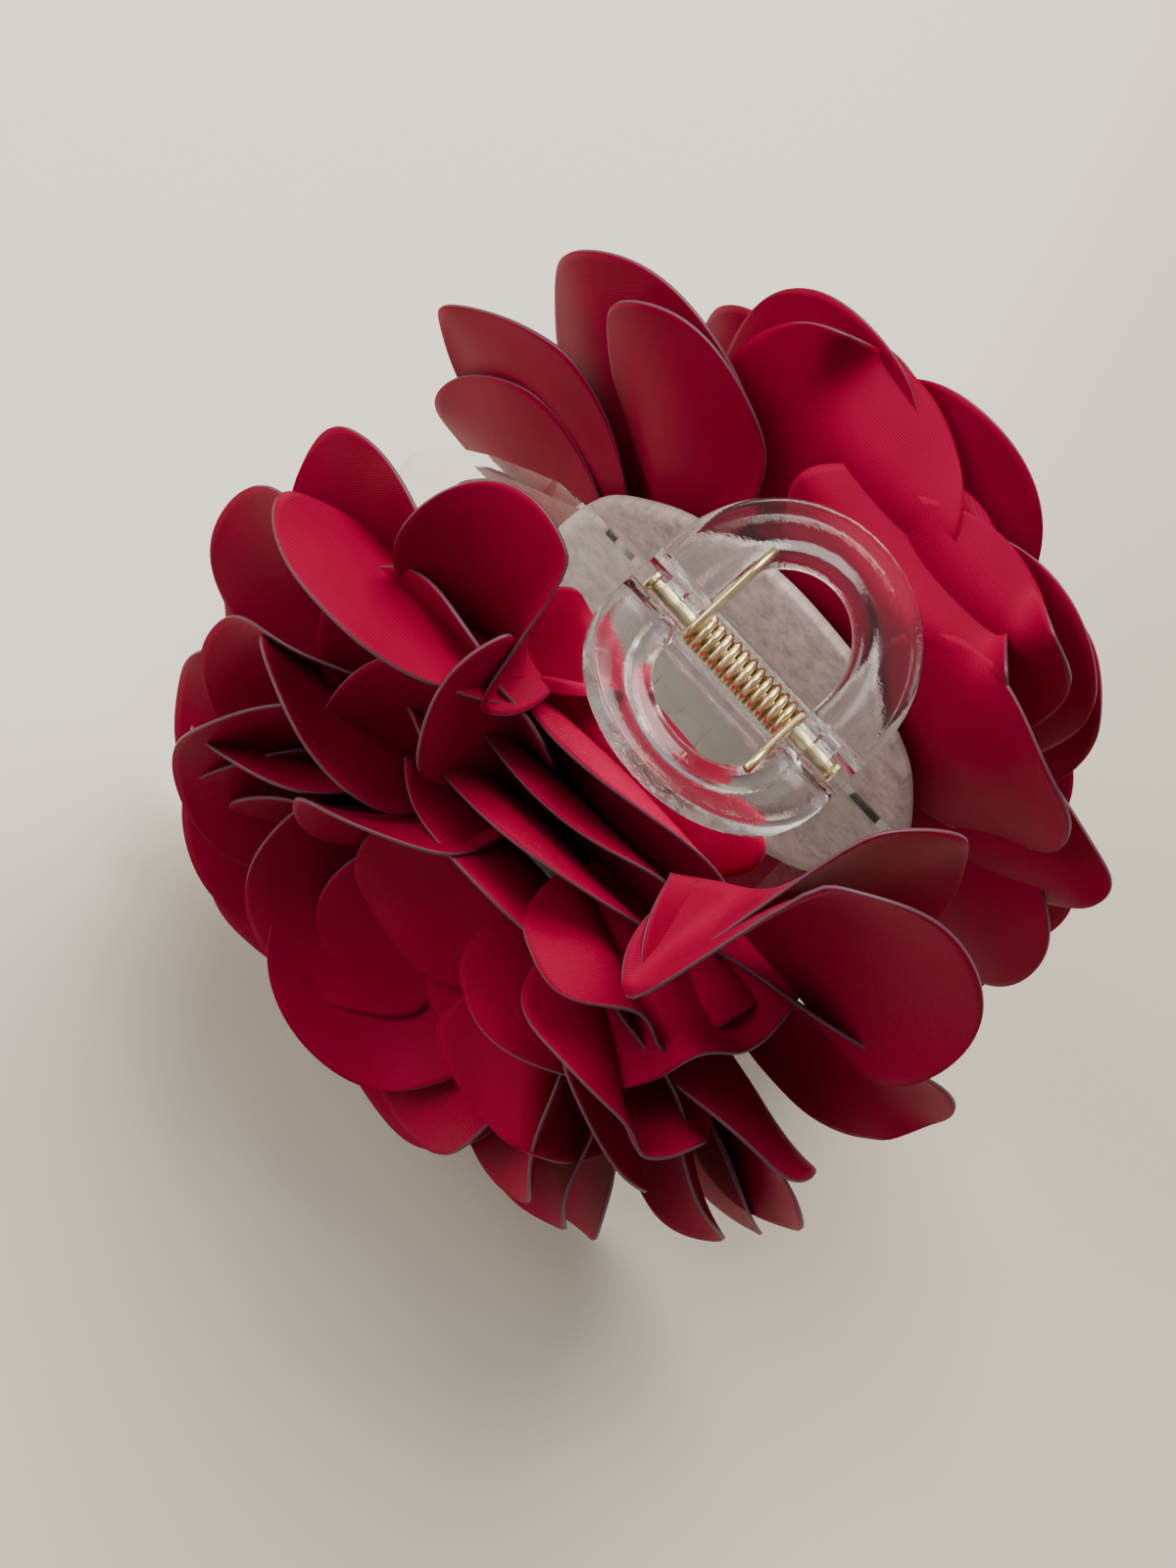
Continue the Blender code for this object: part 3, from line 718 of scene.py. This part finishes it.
def torsion_spring():
    curve = bpy.data.curves.new("spring_wire", "CURVE")
    curve.dimensions = "3D"
    curve.bevel_depth = WIRE_RADIUS * MM
    curve.bevel_resolution = 4
    curve.use_fill_caps = True
    spline = curve.splines.new("POLY")
    points = spring_points()
    spline.points.add(len(points) - 1)
    for point, place in zip(spline.points, points):
        point.co = (*place, 1)
    source = bpy.data.objects.new("spring_source", curve)
    mesh = bpy.data.meshes.new_from_object(source)
    bpy.data.objects.remove(source)
    bm = bmesh.new()
    bm.from_mesh(mesh)
    bmesh.ops.remove_doubles(bm, verts=bm.verts, dist=1e-6)
    bmesh.ops.recalc_face_normals(bm, faces=bm.faces)
    bm.to_mesh(mesh)
    bm.free()
    mesh.shade_smooth()
    mesh.materials.clear()
    mesh.materials.append(BRASS)
    obj = add_object("spring_wire", mesh)
    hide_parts("torsion_spring")
    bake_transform(obj)


def felt_disc(prefix):
    """A round of felt with a slightly uneven rim."""
    low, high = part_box(f"{prefix}_felt_backing")
    centre = (low + high) / 2
    rng = Random(3 if prefix == "back" else 8)
    bm = bmesh.new()
    rows = []
    phases = [rng.uniform(0, 2 * pi) for _ in range(4)]
    for ring in range(FELT_RINGS + 1):
        row = []
        for step in range(FELT_SIDES):
            angle = 2 * pi * step / FELT_SIDES
            wobble = sum(sin(n * angle + p) for n, p in zip((2, 3, 7, 13), phases)) * FELT_WOBBLE
            radius = (FELT_RADIUS + wobble * ring / FELT_RINGS) * ring / FELT_RINGS
            row.append(bm.verts.new((radius * cos(angle) * MM, 0, radius * sin(angle) * MM)))
        rows.append(row)
    for inner, outer in zip(rows, rows[1:]):
        for step in range(FELT_SIDES):
            after = (step + 1) % FELT_SIDES
            bm.faces.new((inner[step], outer[step], outer[after], inner[after]))
    bmesh.ops.remove_doubles(bm, verts=bm.verts, dist=1e-7)
    bmesh.ops.recalc_face_normals(bm, faces=bm.faces)
    bmesh.ops.translate(bm, verts=bm.verts, vec=centre)
    mesh = mesh_from(f"{prefix}_felt", bm)
    mesh.shade_smooth()
    mesh.materials.append(FELT)
    obj = add_object(f"{prefix}_felt", mesh)
    thick = obj.modifiers.new("thickness", "SOLIDIFY")
    thick.thickness = FELT_THICKNESS * MM
    thick.offset = 0
    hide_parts(f"{prefix}_felt_backing")
    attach(obj, f"{prefix}_half")


# Stage


def floor():
    bm = bmesh.new()
    bmesh.ops.create_grid(bm, x_segments=2, y_segments=2, size=1.5)
    mesh = mesh_from("table_top", bm)
    mesh.materials.append(floor_material())
    obj = add_object("table_top", mesh)


def area_light(name, place, target, size, power, colour):
    light = bpy.data.lights.new(name, "AREA")
    light.energy = power
    light.color = colour
    light.shape = "RECTANGLE"
    light.size, light.size_y = size
    obj = add_object(name, light)
    obj.location = place
    obj.rotation_euler = (Vector(target) - Vector(place)).to_track_quat("-Z", "Y").to_euler()


# Where the camera sees the hinge: elevation and distance, and how far the hinge is from the middle of the
# picture, in shares of the focal length, along the pin and across it
EYE_ELEVATION = radians(62)
EYE_DISTANCE = 0.280
HINGE_ALONG = 0.0103
HINGE_ACROSS = 0.0729
PICTURE_ROLL = radians(47.03)
LENS = 58.6


def camera():
    back = Vector((0, -cos(EYE_ELEVATION), sin(EYE_ELEVATION)))
    right = Vector((1, 0, 0))
    up = back.cross(right)
    view = (-back - up * HINGE_ACROSS - right * HINGE_ALONG).normalized()
    right = (right - view * right.dot(view)).normalized()
    up = right.cross(view)
    picture_right = right * cos(PICTURE_ROLL) + up * sin(PICTURE_ROLL)
    picture_up = up * cos(PICTURE_ROLL) - right * sin(PICTURE_ROLL)
    cam = bpy.data.cameras.new("camera")
    cam.lens = LENS
    cam.sensor_width = 36
    cam.clip_start = 0.01
    obj = add_object("camera", cam)
    turn = Matrix((picture_right, picture_up, -view)).transposed().to_4x4()
    obj.matrix_world = Matrix.Translation(HINGE + back * EYE_DISTANCE) @ turn
    bpy.context.scene.camera = obj


def lights():
    world = bpy.data.worlds.new("room")
    world.use_nodes = True
    sky = world.node_tree.nodes["Background"]
    sky.inputs["Color"].default_value = (0.95, 0.94, 0.92, 1)
    sky.inputs["Strength"].default_value = 0.42
    bpy.context.scene.world = world
    target = (0, 0, 0.06)
    area_light("key", (-0.35, 0.6, 1.1), target, (0.9, 0.9), 27.0, (1.0, 0.95, 0.87))
    area_light("fill", (-0.9, -0.4, 0.7), target, (0.9, 0.7), 11.0, (1.0, 0.95, 0.9))


for prefix in SIDES:
    clip_handle(prefix)
    clip_jaw(prefix)
    dress_cad(f"{prefix}_glue_pad", GLUE, bevel=0.15 * MM)
    felt_disc(prefix)
rosette("front", 21)
rosette("back", 5)
dress_cad("hinge_pin", BRASS, bevel=0.12 * MM)
torsion_spring()
floor()
lights()
camera()
